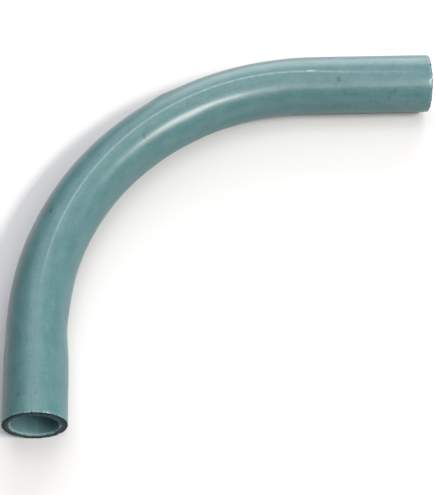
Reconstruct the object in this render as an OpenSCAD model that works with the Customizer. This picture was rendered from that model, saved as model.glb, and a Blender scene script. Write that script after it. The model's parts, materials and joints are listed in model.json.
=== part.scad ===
// Plain-end sweep elbow for rigid PVC conduit: one length of extruded tube, bent
// hot round a former and sawn square at both ends. It lies on its side, as it
// would on a bench. The origin is the centre of the short leg's mouth. The short
// leg runs along +Y, the tube turns towards +X, and Z is square to the bend.

/* [Tube] */
// Outside diameter of the tube, 0.840 in for trade size 1/2
tube_od = 21.34; // [20:0.01:34]
// Thickness of the wall, 0.109 in for schedule 40
wall = 2.77; // [1.5:0.01:4]

/* [Bend] */
// Radius of the bend at the tube's centre line, 4 in for trade size 1/2
bend_radius = 101.6; // [80:0.1:200]
// How far round the tube turns, in degrees
bend_angle = 90; // [30:1:90]

/* [Legs] */
// Straight length of the short leg, from its mouth to the start of the bend
short_leg = 32.6; // [20:0.1:120]
// Straight length of the long leg, from the end of the bend to its mouth
long_leg = 42.9; // [20:0.1:120]

/* [Mouths] */
// Width of the chamfer reamed inside each mouth, so that its edge can't nick a cable
ream = 0.6; // [0.2:0.1:1.2]
// Width of the bevel that takes the saw's burr off the outside of each mouth
edge_break = 0.25; // [0.1:0.05:0.6]

/* [Hidden] */

outer_r = tube_od / 2;
bore_r = outer_r - wall;
overrun = 1;        // how far a cutting shape runs past what it cuts
pvc_grey = [0.45, 0.59, 0.59];
$fn = 120;

// Puts its children at the short leg's mouth, with their Z axis running into it.
module at_short_mouth() {
    rotate([-90, 0, 0])
        children();
}

// Puts its children at the long leg's mouth, with their Z axis running into it.
module at_long_mouth() {
    translate([bend_radius, short_leg, 0])
        rotate([0, 0, -bend_angle])
            translate([-bend_radius, long_leg, 0])
                rotate([90, 0, 0])
                    children();
}

// A round rod along the whole centre line: leg, bend and leg. A rod that cuts
// the bore runs a distance past each mouth.
module swept_rod(r, past = 0) {
    at_short_mouth()
        translate([0, 0, -past])
            cylinder(r = r, h = short_leg + past);
    at_long_mouth()
        translate([0, 0, -past])
            cylinder(r = r, h = long_leg + past);
    translate([bend_radius, short_leg, 0])
        rotate([0, 0, 180 - bend_angle])
            rotate_extrude(angle = bend_angle)
                translate([bend_radius, 0])
                    circle(r = r);
}

// What the reamer takes off the inside edge of a mouth.
module reamed_edge() {
    translate([0, 0, -overrun])
        cylinder(r1 = bore_r + ream + overrun, r2 = bore_r - overrun,
                 h = ream + 2 * overrun);
}

// What the file takes off the outside edge of a mouth.
module filed_edge() {
    difference() {
        translate([0, 0, -overrun])
            cylinder(r = outer_r + overrun, h = 2 * overrun + edge_break);
        translate([0, 0, -2 * overrun])
            cylinder(r1 = outer_r - edge_break - 2 * overrun, r2 = outer_r + 2 * overrun,
                     h = edge_break + 4 * overrun);
    }
}

// The elbow itself, one piece of tube.
module elbow() {
    color(pvc_grey)
        difference() {
            swept_rod(outer_r);
            swept_rod(bore_r, past = overrun);
            at_short_mouth() reamed_edge();
            at_short_mouth() filed_edge();
            at_long_mouth() reamed_edge();
            at_long_mouth() filed_edge();
        }
}

elbow();
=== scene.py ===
"""A plain-end conduit elbow: one length of grey PVC tube, bent hot round a former and sawn at both ends.

It lies on its side on a pale bench. Metres throughout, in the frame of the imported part: the origin is the
centre of the short leg's mouth, the short leg runs along +Y and the long leg leaves along +X.
"""

import json
from math import atan2, cos, degrees, exp, hypot, pi, radians, sin

import bmesh
import bpy
from mathutils import Euler, Matrix, Vector, noise


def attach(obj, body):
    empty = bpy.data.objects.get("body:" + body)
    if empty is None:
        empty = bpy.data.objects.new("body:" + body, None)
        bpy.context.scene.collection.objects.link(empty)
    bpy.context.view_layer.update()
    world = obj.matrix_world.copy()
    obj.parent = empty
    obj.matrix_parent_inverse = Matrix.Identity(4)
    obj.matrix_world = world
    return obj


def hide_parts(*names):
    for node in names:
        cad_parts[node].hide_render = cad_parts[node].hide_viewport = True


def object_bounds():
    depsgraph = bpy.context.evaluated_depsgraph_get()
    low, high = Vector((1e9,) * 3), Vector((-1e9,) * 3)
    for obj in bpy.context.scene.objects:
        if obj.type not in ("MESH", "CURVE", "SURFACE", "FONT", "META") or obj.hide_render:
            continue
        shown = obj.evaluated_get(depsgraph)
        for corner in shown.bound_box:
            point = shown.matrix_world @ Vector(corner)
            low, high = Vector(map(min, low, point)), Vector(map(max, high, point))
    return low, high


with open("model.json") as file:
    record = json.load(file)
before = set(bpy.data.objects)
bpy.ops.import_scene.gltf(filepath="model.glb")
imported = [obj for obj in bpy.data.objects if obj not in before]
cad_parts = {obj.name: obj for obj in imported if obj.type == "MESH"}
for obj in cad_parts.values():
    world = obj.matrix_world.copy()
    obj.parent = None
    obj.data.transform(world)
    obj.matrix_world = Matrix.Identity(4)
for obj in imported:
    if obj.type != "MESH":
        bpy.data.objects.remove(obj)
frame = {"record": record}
cad_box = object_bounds()

MM = 0.001

# ---------------------------------------------------------------------------
# Sizes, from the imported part
# ---------------------------------------------------------------------------

mounts = {mount["name"]: mount for mount in frame["record"]["mounts"]}
short_spigot = mounts["short_spigot"]
long_spigot = mounts["long_spigot"]
long_mouth = Vector(long_spigot["pos_m"])
low, high = (Vector(corner) for corner in cad_box)

OUTER_R = (high.z - low.z) / 2
WALL = 2.77 * MM                # schedule 40 wall
BORE_R = OUTER_R - WALL
EDGE_BREAK = 0.25 * MM          # bevel left by the file on the outer edge of each mouth
REAM = 0.6 * MM                 # chamfer left by the reamer on the inner edge
SHORT_LEG = short_spigot["dims"]["length_mm"] * MM + EDGE_BREAK
LONG_LEG = long_spigot["dims"]["length_mm"] * MM + EDGE_BREAK
BEND_R = long_mouth.y - SHORT_LEG
BEND_CENTRE = Vector((BEND_R, SHORT_LEG, 0))
ARC = BEND_R * pi / 2
LENGTH = SHORT_LEG + ARC + LONG_LEG

# ---------------------------------------------------------------------------
# How a bent tube departs from a round one
# ---------------------------------------------------------------------------

PINCH = 0.041                   # share of its width the tube loses across the bend
# The witness line: a fine raised line along the crown, where the two halves of the former met
LINE_HEIGHT = 0.09 * MM
LINE_WIDTH = 0.42 * MM
MOUTH_REACH = 9 * MM            # over this length from each mouth the tube turns truly round
RAGGED = 0.3 * MM               # how rough the saw leaves the outer edge of a mouth

# Local swells and dips: distance along the tube, angle round it from the crown (positive towards the
# inside of the bend), reach along the tube, reach round it in degrees, height. Lengths in millimetres.
MARKS = [
    (18, 90, 8, 45, 0.08),      # swell before the former's edge
    (33, 90, 5, 50, -0.14),     # nip where the bend starts
    (46, 90, 8, 50, 0.18),      # wall pushed up behind the nip
    (69, 90, 9, 50, -0.10),     # first and second ripple of the squeezed side
    (99, 90, 12, 50, -0.12),
    (139, 90, 7, 45, 0.12),
    (136, -70, 4, 35, 0.42),    # bruise on the stretched side
]
WAVINESS = 0.05                 # slow waviness of the skin over some 22 mm, in millimetres


def smooth(x):
    """0 below 0, 1 above 1, and an even ramp between."""
    x = min(max(x, 0.0), 1.0)
    return x * x * (3 - 2 * x)


def squeeze(s):
    """How much of the full pinch the tube has at s along it: sudden at first, then slow to fade."""
    start = smooth((s - (SHORT_LEG - 3.5 * MM)) / (16 * MM) + 0.5)
    end = smooth((s - (SHORT_LEG + ARC - 25 * MM)) / (64 * MM) + 0.5)
    return start - end


def line_angle(s):
    """Where the witness line runs, in degrees from the crown towards the inside of the bend."""
    bend = (s - SHORT_LEG) / ARC
    return 5.5 - 4.2 * smooth(bend / 0.6) + 9.5 * smooth((bend - 0.74) / 0.42)


def line_strength(s):
    """The line is pressed in where the former closed: it fades in at the bend and out along the long leg."""
    fade_in = smooth((s - 34 * MM) / (50 * MM))
    fade_out = smooth((s - 188 * MM) / (24 * MM))
    return fade_in * (1 - 0.62 * fade_out) * (1 - smooth((s - LENGTH + 12 * MM) / (10 * MM)))


def station(co):
    """Where a point of the swept tube lies: along it, out towards the outside of the bend, and up."""
    if co.y <= SHORT_LEG and co.x < BEND_R:
        return co.y, -co.x, co.z
    if co.x >= BEND_R:
        return SHORT_LEG + ARC + co.x - BEND_R, co.y - long_mouth.y, co.z
    spoke = co - BEND_CENTRE
    turned = atan2(spoke.y, -spoke.x)
    return SHORT_LEG + BEND_R * turned, hypot(spoke.x, spoke.y) - BEND_R, co.z


def place(s, out, up):
    """The point at a distance s along the tube, out towards the outside of the bend and up."""
    if s <= SHORT_LEG:
        return Vector((-out, s, up))
    if s >= SHORT_LEG + ARC:
        return Vector((BEND_R + s - SHORT_LEG - ARC, long_mouth.y + out, up))
    turned = (s - SHORT_LEG) / BEND_R
    reach = BEND_R + out
    return BEND_CENTRE + Vector((-reach * cos(turned), reach * sin(turned), up))


def swell(s, angle):
    """Height of the surface over a true tube, in metres, at an angle from the crown in degrees."""
    height = 0.0
    for along, around, reach, arc, rise in MARKS:
        turn = (angle - around + 180) % 360 - 180
        height += rise * exp(-((s / MM - along) / reach) ** 2 - (turn / arc) ** 2)
    wander = noise.noise(Vector((s / (22 * MM), cos(radians(angle)), sin(radians(angle)))))
    return (height + WAVINESS * wander) * MM


def chipped(s, out, up):
    """The outer edge of a mouth as the saw leaves it, ragged by up to a fifth of a millimetre."""
    bite = noise.noise(Vector((out / (0.8 * MM), up / (0.8 * MM), s / MM))) + 0.1
    bite = max(0.0, bite) * RAGGED if min(s, LENGTH - s) < 0.4 * MM else 0.0
    inward = 1 - bite / hypot(out, up)
    return (s + bite if s < SHORT_LEG else s - bite), out * inward, up * inward


def off_line(s, out, up):
    """How far a point of the skin is from the witness line, in widths of the line."""
    return (atan2(-out, up) - radians(line_angle(s))) * OUTER_R / LINE_WIDTH


def bent(s, out, up, outside):
    """Where the bent tube has a point of the true tube."""
    if outside:
        angle = degrees(atan2(-out, up))
        ridge = line_strength(s) * (exp(-off_line(s, out, up) ** 2) - 1)
        rise = swell(s, angle) * smooth(s / MOUTH_REACH) * smooth((LENGTH - s) / MOUTH_REACH)
        # the crown and the underside only dip, so that the tube is no thicker than it was drawn
        if abs(angle) < 40 or abs(angle) > 140:
            rise = min(0.0, rise)
        grow = 1 + (rise + LINE_HEIGHT * ridge) / hypot(out, up)
        out, up = out * grow, up * grow
    return place(s, out * (1 - PINCH * squeeze(s)), up)


# ---------------------------------------------------------------------------
# Mesh
# ---------------------------------------------------------------------------

SIDES = 112                     # sides of the tube, about 0.6 mm each
CROWN_SIDES = 8                 # sides on either side of the crown that are cut finer, for the witness line
CROWN_CUTS = 3                  # cuts across each of those sides
STEP = 1.5 * MM                 # spacing of the rings along the tube
NEAR = 0.02 * MM                # points closer than this are one point
SKIN, SAWN, BORE = 0, 1, 2      # the elbow's material slots, in order


def ring(bm):
    """The outer ring of the tube's section at the short mouth, finer at the crown."""
    to_mouth = Matrix.Rotation(radians(90), 4, "X")
    bmesh.ops.create_circle(bm, segments=SIDES, radius=OUTER_R, matrix=to_mouth)
    reach = OUTER_R * sin(2 * pi / SIDES * (CROWN_SIDES + 0.5))
    crown = [e for e in bm.edges if all(v.co.z > 0 and abs(v.co.x) < reach for v in e.verts)]
    bmesh.ops.subdivide_edges(bm, edges=crown, cuts=CROWN_CUTS)
    for vert in bm.verts:
        vert.co *= OUTER_R / vert.co.length
    return bm.edges[:]


def face_off(bm, edges, centre):
    """Spans the wall from an outer ring in to the bore, and returns the faces and the inner ring's edges."""
    span = bmesh.ops.extrude_edge_only(bm, edges=edges)["geom"]
    inner = [piece for piece in span if isinstance(piece, bmesh.types.BMVert)]
    bmesh.ops.scale(bm, verts=inner, vec=[BORE_R / OUTER_R] * 3, space=Matrix.Translation(-centre))
    faces = [piece for piece in span if isinstance(piece, bmesh.types.BMFace)]
    rim = [e for e in span if isinstance(e, bmesh.types.BMEdge) and all(v in inner for v in e.verts)]
    return faces, rim


def drawn_on(bm, edges, **how):
    """Draws a ring on along the tube and returns the last ring's edges."""
    end = bmesh.ops.spin(bm, geom=edges, use_merge=False, use_duplicate=False, **how)["geom_last"]
    return [piece for piece in end if isinstance(piece, bmesh.types.BMEdge)]


def sweep(bm, edges):
    """Draws a ring along the short leg, round the bend and along the long leg."""
    still = {"cent": (0, 0, 0), "axis": (0, 0, 1), "angle": 0}
    steps = round(SHORT_LEG / STEP)
    edges = drawn_on(bm, edges, steps=steps, dvec=(0, SHORT_LEG / steps, 0), **still)
    edges = drawn_on(bm, edges, steps=round(ARC / STEP), cent=BEND_CENTRE, axis=(0, 0, -1),
                     dvec=(0, 0, 0), angle=pi / 2)
    steps = round(LONG_LEG / STEP)
    return drawn_on(bm, edges, steps=steps, dvec=(LONG_LEG / steps, 0, 0), **still)


def rim_edges(bm, radius, mouth, normal):
    """The edges that run round a mouth at a radius."""
    near = {v for v in bm.verts if abs((v.co - mouth).dot(normal)) < NEAR
            and abs((v.co - mouth).length - radius) < NEAR}
    return [edge for edge in bm.edges if all(vert in near for vert in edge.verts)]


def make_elbow():
    """The elbow as one closed mesh."""
    bm = bmesh.new()
    outer_start = ring(bm)
    start_face, inner_start = face_off(bm, outer_start, Vector((0, 0, 0)))
    sweep(bm, inner_start)
    outer_end = sweep(bm, outer_start)
    end_face = face_off(bm, outer_end, long_mouth)[0]

    # the sawn faces carry their own finish, and so does the bore
    for face in bm.faces:
        s, out, up = station(face.calc_center_median())
        face.material_index = SKIN if hypot(out, up) > (OUTER_R + BORE_R) / 2 else BORE
    for face in start_face + end_face:
        face.material_index = SAWN

    bmesh.ops.remove_doubles(bm, verts=bm.verts, dist=NEAR)
    bmesh.ops.recalc_face_normals(bm, faces=bm.faces)
    for mouth, normal in ((Vector((0, 0, 0)), Vector((0, 1, 0))), (long_mouth, Vector((1, 0, 0)))):
        for radius, width in ((OUTER_R, EDGE_BREAK), (BORE_R, REAM)):
            bmesh.ops.bevel(bm, geom=rim_edges(bm, radius, mouth, normal), offset=width,
                            affect="EDGES", segments=2, profile=0.5, material=SAWN)

    # where each point was when the tube left the extruder, straight along X
    drawn = bm.verts.layers.float_vector.new("as_extruded")
    line = bm.verts.layers.float.new("witness_line")
    depth = bm.verts.layers.float.new("depth_in_wall")
    mouth_gap = bm.verts.layers.float.new("from_mouth")
    for vert in bm.verts:
        s, out, up = station(vert.co)
        s = min(max(s, 0.0), LENGTH)
        radius = hypot(out, up)
        outside = radius > (OUTER_R + BORE_R) / 2
        vert[drawn] = (s, out, up)
        vert[line] = line_strength(s) * exp(-off_line(s, out, up) ** 2) if outside else 0.0
        vert[depth] = (OUTER_R - radius) / WALL
        vert[mouth_gap] = min(s, LENGTH - s)
        if radius > OUTER_R - 1.2 * EDGE_BREAK:
            s, out, up = chipped(s, out, up)
        vert.co = bent(s, out, up, outside)

    mesh = bpy.data.meshes.new("elbow_tube")
    bm.to_mesh(mesh)
    bm.free()
    for polygon in mesh.polygons:
        polygon.use_smooth = True
    mesh.set_sharp_from_angle(angle=radians(32))
    tube = bpy.data.objects.new("elbow_tube", mesh)
    bpy.context.collection.objects.link(tube)
    return tube


# ---------------------------------------------------------------------------
# Materials
# ---------------------------------------------------------------------------

def linear(colour):
    """An sRGB hex colour as linear RGBA."""
    channels = [int(colour[i:i + 2], 16) / 255 for i in (0, 2, 4)]
    return [c / 12.92 if c <= 0.04045 else ((c + 0.055) / 1.055) ** 2.4 for c in channels] + [1.0]


def add(tree, kind, links=None, **settings):
    """Adds a node: settings by attribute or input name, links as {input name or number: output socket}."""
    node = tree.nodes.new(kind)
    for name, value in settings.items():
        if hasattr(node, name):
            setattr(node, name, value)
        else:
            node.inputs[name.replace("_", " ")].default_value = value
    for name, socket in (links or {}).items():
        tree.links.new(socket, node.inputs[name])
    return node


def new_material(name):
    material = bpy.data.materials.new(name)
    material.use_nodes = True
    material.node_tree.nodes.clear()
    return material, material.node_tree


def finish_material(tree, shader):
    add(tree, "ShaderNodeOutputMaterial", {"Surface": shader.outputs[0]})


def ramp(tree, value, stops):
    """A colour ramp through (position, hex colour) stops."""
    node = add(tree, "ShaderNodeValToRGB", {"Fac": value})
    for element, (position, colour) in zip(node.color_ramp.elements, stops):
        element.position = position
        element.color = linear(colour)
    return node.outputs["Color"]


def level(tree, value, low, high, bottom, top):
    """A value carried from one range to another, and held at its ends."""
    return add(tree, "ShaderNodeMapRange", {"Value": value}, From_Min=low, From_Max=high, To_Min=bottom,
               To_Max=top).outputs[0]


def times(tree, first, second):
    node = add(tree, "ShaderNodeMath", {0: first, 1: second}, operation="MULTIPLY")
    return node.outputs[0]


def laid_over(tree, share, under, over):
    """A hex colour laid over a colour socket, by a share of 0 to 1."""
    node = add(tree, "ShaderNodeMix", {0: share, 6: under}, data_type="RGBA")
    node.inputs[7].default_value = linear(over)
    return node.outputs[2]


def grain(tree, where, scale, detail=3.0):
    """Noise with its own number of features to the metre along each axis."""
    at = add(tree, "ShaderNodeMapping", {"Vector": where}, Scale=scale).outputs[0]
    return add(tree, "ShaderNodeTexNoise", {"Vector": at}, Scale=1.0, Detail=detail).outputs["Fac"]


def raised(tree, height, distance, under=None):
    """A bump of a real height in metres, over another bump if there is one."""
    links = {"Height": height, "Normal": under} if under else {"Height": height}
    return add(tree, "ShaderNodeBump", links, Strength=1.0, Distance=distance).outputs[0]


def mark(tree, where, s, angle, length, width, strength):
    """A soft-edged mark: place along the tube and round it, size in millimetres, strength 0 to 1."""
    centre = (s * MM, -OUTER_R * sin(radians(angle)), OUTER_R * cos(radians(angle)))
    scale = (2 / (length * MM), 2 / (width * MM), 2 / (width * MM))
    shift = [-c * k for c, k in zip(centre, scale)]
    at = add(tree, "ShaderNodeMapping", {"Vector": where}, Location=shift, Scale=scale).outputs[0]
    reach = add(tree, "ShaderNodeVectorMath", {0: at}, operation="LENGTH").outputs["Value"]
    return level(tree, reach, 0.35, 1.15, strength, 0.0)


def marks(tree, where, places):
    """Several marks as one share."""
    total = mark(tree, where, *places[0])
    for place_of_mark in places[1:]:
        one = mark(tree, where, *place_of_mark)
        total = add(tree, "ShaderNodeMath", {0: total, 1: one}, operation="MAXIMUM").outputs[0]
    return total


# Dirt and knocks on the skin, as in mark()
SCUFFS = [
    (7, -25, 1.5, 1.2, 0.4),
    (7, 5, 1.4, 1.3, 0.3),
    (26, -12, 1.8, 1.2, 0.3),
    (75, -25, 2.2, 1.3, 0.5),
    (102, -10, 1.4, 1.5, 0.25),
    (119, 25, 1.6, 2.2, 0.45),
    (141, 15, 1.8, 1.4, 0.25),
    (177, 35, 2.6, 2.0, 0.25),
    (200, 25, 2.0, 3.0, 0.4),
    (221, 50, 1.4, 2.6, 0.25),
]
# Pale marks, as in mark(): the first is a painted glint at the brightest point of the witness line, the
# second a small nick
NICKS_AND_GLINT = [(190, 6, 3.4, 1.1, 0.55), (71, -30, 1.6, 0.8, 0.12)]


def extruded_pvc():
    """Rigid PVC drawn through a die: a soft sheen, faint lines along its length, the odd scuff and speck."""
    material, tree = new_material("extruded_pvc")
    along = add(tree, "ShaderNodeAttribute", attribute_name="as_extruded").outputs["Vector"]
    line_pale_and_highlight = add(tree, "ShaderNodeAttribute", attribute_name="witness_line").outputs["Fac"]
    from_mouth = add(tree, "ShaderNodeAttribute", attribute_name="from_mouth").outputs["Fac"]

    # draw lines 0.6 mm apart and 60 mm long, clouds of pigment 6 by 3 mm, orange peel 0.9 mm across
    lines = grain(tree, along, (16, 1600, 1600))
    clouds = grain(tree, along, (160, 320, 320))
    peel = grain(tree, along, (1100, 1100, 1100))
    skin = ramp(tree, clouds, [(0.3, "46666a"), (0.7, "4f7073")])
    skin = laid_over(tree, level(tree, lines, 0.4, 0.75, 0.0, 0.25), skin, "3f5f63")
    skin = laid_over(tree, level(tree, peel, 0.5, 0.75, 0.0, 0.6), skin, "3a5c60")

    # handling dirt: smears 2 mm long and 5.5 mm round the tube, mostly on the long leg
    smears = level(tree, grain(tree, along, (500, 180, 180)), 0.6, 0.8, 0.0, 0.4)
    reach = add(tree, "ShaderNodeSeparateXYZ", {"Vector": along}).outputs["X"]
    skin = laid_over(tree, times(tree, smears, level(tree, reach, 0.17, 0.2, 0.1, 1.0)), skin, "314d54")

    # the marks' outlines wander by half a millimetre
    wander = add(tree, "ShaderNodeTexNoise", {"Vector": along}, Scale=900.0).outputs["Color"]
    blurred = add(tree, "ShaderNodeVectorMath", {0: wander}, operation="SCALE", Scale=0.9 * MM).outputs[0]
    wandered = add(tree, "ShaderNodeVectorMath", {0: along, 1: blurred}, operation="ADD").outputs[0]
    wandered = add(tree, "ShaderNodeMapping", {"Vector": wandered}, Location=[-0.45 * MM] * 3).outputs[0]
    skin = laid_over(tree, marks(tree, wandered, SCUFFS), skin, "1c3033")

    # Paler along the witness line and brightest at one spot on it: a painted highlight on the ridge, over
    # the pale of stretched PVC. PVC also turns pale where it is torn: at a nick and at the saw's burr
    broken = level(tree, grain(tree, along, (500, 100, 100)), 0.35, 0.65, 0.55, 1.0)
    # painted highlight along the witness line, over the pale of stretched PVC
    skin = laid_over(tree, times(tree, line_pale_and_highlight, broken), skin, "6f8789")
    # painted glint on the witness line, and a pale nick
    skin = laid_over(tree, marks(tree, wandered, NICKS_AND_GLINT), skin, "8faaa4")
    torn = level(tree, grain(tree, along, (1600, 1500, 1500), 1.0), 0.45, 0.6, 0.0, 0.4)
    skin = laid_over(tree, times(tree, torn, level(tree, from_mouth, 0.5 * MM, 1.2 * MM, 1.0, 0.0)), skin,
                     "7c9c9f")

    rough = level(tree, lines, 0.3, 0.7, 0.27, 0.34)
    bumps = raised(tree, peel, 0.008 * MM, raised(tree, lines, 0.008 * MM))
    shader = add(tree, "ShaderNodeBsdfPrincipled", {"Base Color": skin, "Roughness": rough, "Normal": bumps},
                 IOR=1.4)
    finish_material(tree, shader)
    return material


def sawn_pvc():
    """PVC cut with a saw: matt, with painted shade that makes it dark towards the skin and a painted
    highlight that makes it pale at the bore.
    """
    material, tree = new_material("sawn_pvc")
    where = add(tree, "ShaderNodeTexCoord").outputs["Object"]
    depth = add(tree, "ShaderNodeAttribute", attribute_name="depth_in_wall").outputs["Fac"]
    # saw scratches 0.3 mm apart, running up and down the cut
    cuts = grain(tree, where, (3300, 3300, 250))
    ragged = level(tree, grain(tree, where, (700, 700, 700)), 0.3, 0.7, -0.14, 0.14)
    edge = add(tree, "ShaderNodeMath", {0: depth, 1: ragged}, operation="ADD").outputs[0]
    # painted shade: the face and the file's bevel on its outer edge are coloured near black towards the skin
    colour = ramp(tree, edge, [(0.1, "0a1619"), (0.55, "2a3d45")])
    # painted highlight: a pale band at the bore, over the reamer's chamfer
    colour = laid_over(tree, level(tree, edge, 0.76, 0.9, 0.0, 1.0), colour, "6f888c")
    colour = laid_over(tree, level(tree, cuts, 0.45, 0.75, 0.0, 0.15), colour, "5d7278")
    shader = add(tree, "ShaderNodeBsdfPrincipled",
                 {"Base Color": colour, "Normal": raised(tree, cuts, 0.03 * MM)}, Roughness=0.75, IOR=1.3)
    finish_material(tree, shader)
    return material


def bore_pvc():
    """The inside of the tube, cooled without touching a die: smoother, with long faint waves."""
    material, tree = new_material("bore_pvc")
    along = add(tree, "ShaderNodeAttribute", attribute_name="as_extruded").outputs["Vector"]
    lines = grain(tree, along, (20, 700, 700))
    colour = ramp(tree, lines, [(0.3, "46676b"), (0.7, "517378")])
    shader = add(tree, "ShaderNodeBsdfPrincipled",
                 {"Base Color": colour, "Normal": raised(tree, lines, 0.02 * MM)}, Roughness=0.4, IOR=1.53)
    finish_material(tree, shader)
    return material


def bench_white():
    """A matt white bench top."""
    material, tree = new_material("bench_white")
    shader = add(tree, "ShaderNodeBsdfPrincipled", Roughness=0.8)
    shader.inputs["Base Color"].default_value = linear("c1c2c4")
    finish_material(tree, shader)
    return material


# ---------------------------------------------------------------------------
# Scene
# ---------------------------------------------------------------------------

def make_bench(height):
    bm = bmesh.new()
    bmesh.ops.create_grid(bm, x_segments=1, y_segments=1, size=3.0)
    bmesh.ops.translate(bm, verts=bm.verts, vec=(0, 0, height))
    mesh = bpy.data.meshes.new("bench")
    bm.to_mesh(mesh)
    bm.free()
    bench = bpy.data.objects.new("bench", mesh)
    bench.data.materials.append(bench_white())
    bpy.context.collection.objects.link(bench)


# The camera looks down from in front of the short leg's mouth, a little from the left
CAMERA_LENS = 98.4              # millimetres, on a 36 mm frame
CAMERA_DISTANCE = 0.4713        # from the point it is aimed at
CAMERA_AIM = Vector((-0.0049, -0.0076, 0))    # from the middle of the elbow
CAMERA_TILT = 30.23             # degrees from straight down
CAMERA_TURN = -6.25             # degrees round the elbow
CAMERA_ROLL = 4.07              # degrees round the line of sight


def make_camera(centre):
    """The camera, at its place over the elbow."""
    data = bpy.data.cameras.new("camera")
    data.lens = CAMERA_LENS
    data.clip_start = 0.01
    camera = bpy.data.objects.new("camera", data)
    aim = centre + CAMERA_AIM
    turn = Euler((radians(CAMERA_TILT), 0, 0)).to_matrix()
    roll = Matrix.Rotation(radians(CAMERA_ROLL), 3, "Z")
    turn = Matrix.Rotation(radians(CAMERA_TURN), 3, "Z") @ turn @ roll
    away = turn @ Vector((0, 0, 1))
    camera.matrix_world = Matrix.Translation(aim + away * CAMERA_DISTANCE) @ turn.to_4x4()
    bpy.context.collection.objects.link(camera)
    bpy.context.scene.camera = camera


def make_light(name, centre, towards, size, power, colour):
    """A soft light, width by height, facing the elbow's middle."""
    data = bpy.data.lights.new(name, "AREA")
    data.shape = "RECTANGLE"
    data.size, data.size_y = size
    data.energy = power
    data.color = linear(colour)[:3]
    light = bpy.data.objects.new(name, data)
    direction = Vector(towards).normalized()
    turn = direction.to_track_quat("Z", "Y").to_matrix().to_4x4()
    light.matrix_world = Matrix.Translation(centre + direction * LIGHT_DISTANCE) @ turn
    bpy.context.collection.objects.link(light)


LIGHT_DISTANCE = 1.2
# Name, direction from the elbow, width and height in metres, power in watts, colour
LIGHTS = [
    ("window", (0.15, 0.93, 0.34), (1.0, 0.8), 13.2, "ffffff"),
    ("soft_right", (0.64, 0.0, 0.77), (0.8, 0.8), 1.8, "ffffff"),
    ("soft_front", (0.45, -0.45, 0.77), (0.8, 0.8), 1.9, "ffffff"),
    ("soft_near", (0.19, -0.58, 0.79), (0.5, 0.4), 3.2, "ffffff"),
    ("soft_back", (-0.12, 0.47, 0.87), (1.1, 0.8), 5.6, "ffffff"),
    ("soft_top", (0.0, 0.0, 1.0), (0.8, 0.8), 5.8, "ffffff"),
    ("lamp", (0.56, -0.33, 0.76), (0.5, 0.16), 14.6, "fff8ee"),
]


def make_lights(centre):
    for name, towards, size, power, colour in LIGHTS:
        make_light(name, centre, towards, size, power, colour)
    world = bpy.data.worlds.new("room")
    world.use_nodes = True
    world.node_tree.nodes["Background"].inputs["Color"].default_value = linear("c8d4e0")
    world.node_tree.nodes["Background"].inputs["Strength"].default_value = 0.05
    bpy.context.scene.world = world
    bpy.context.scene.view_settings.view_transform = "Standard"


elbow = make_elbow()
for finish in (extruded_pvc(), sawn_pvc(), bore_pvc()):
    elbow.data.materials.append(finish)
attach(elbow, "root")
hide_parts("elbow")

middle = (low + high) / 2
make_bench(low.z)
make_camera(Vector((middle.x, middle.y, 0)))
make_lights(middle)
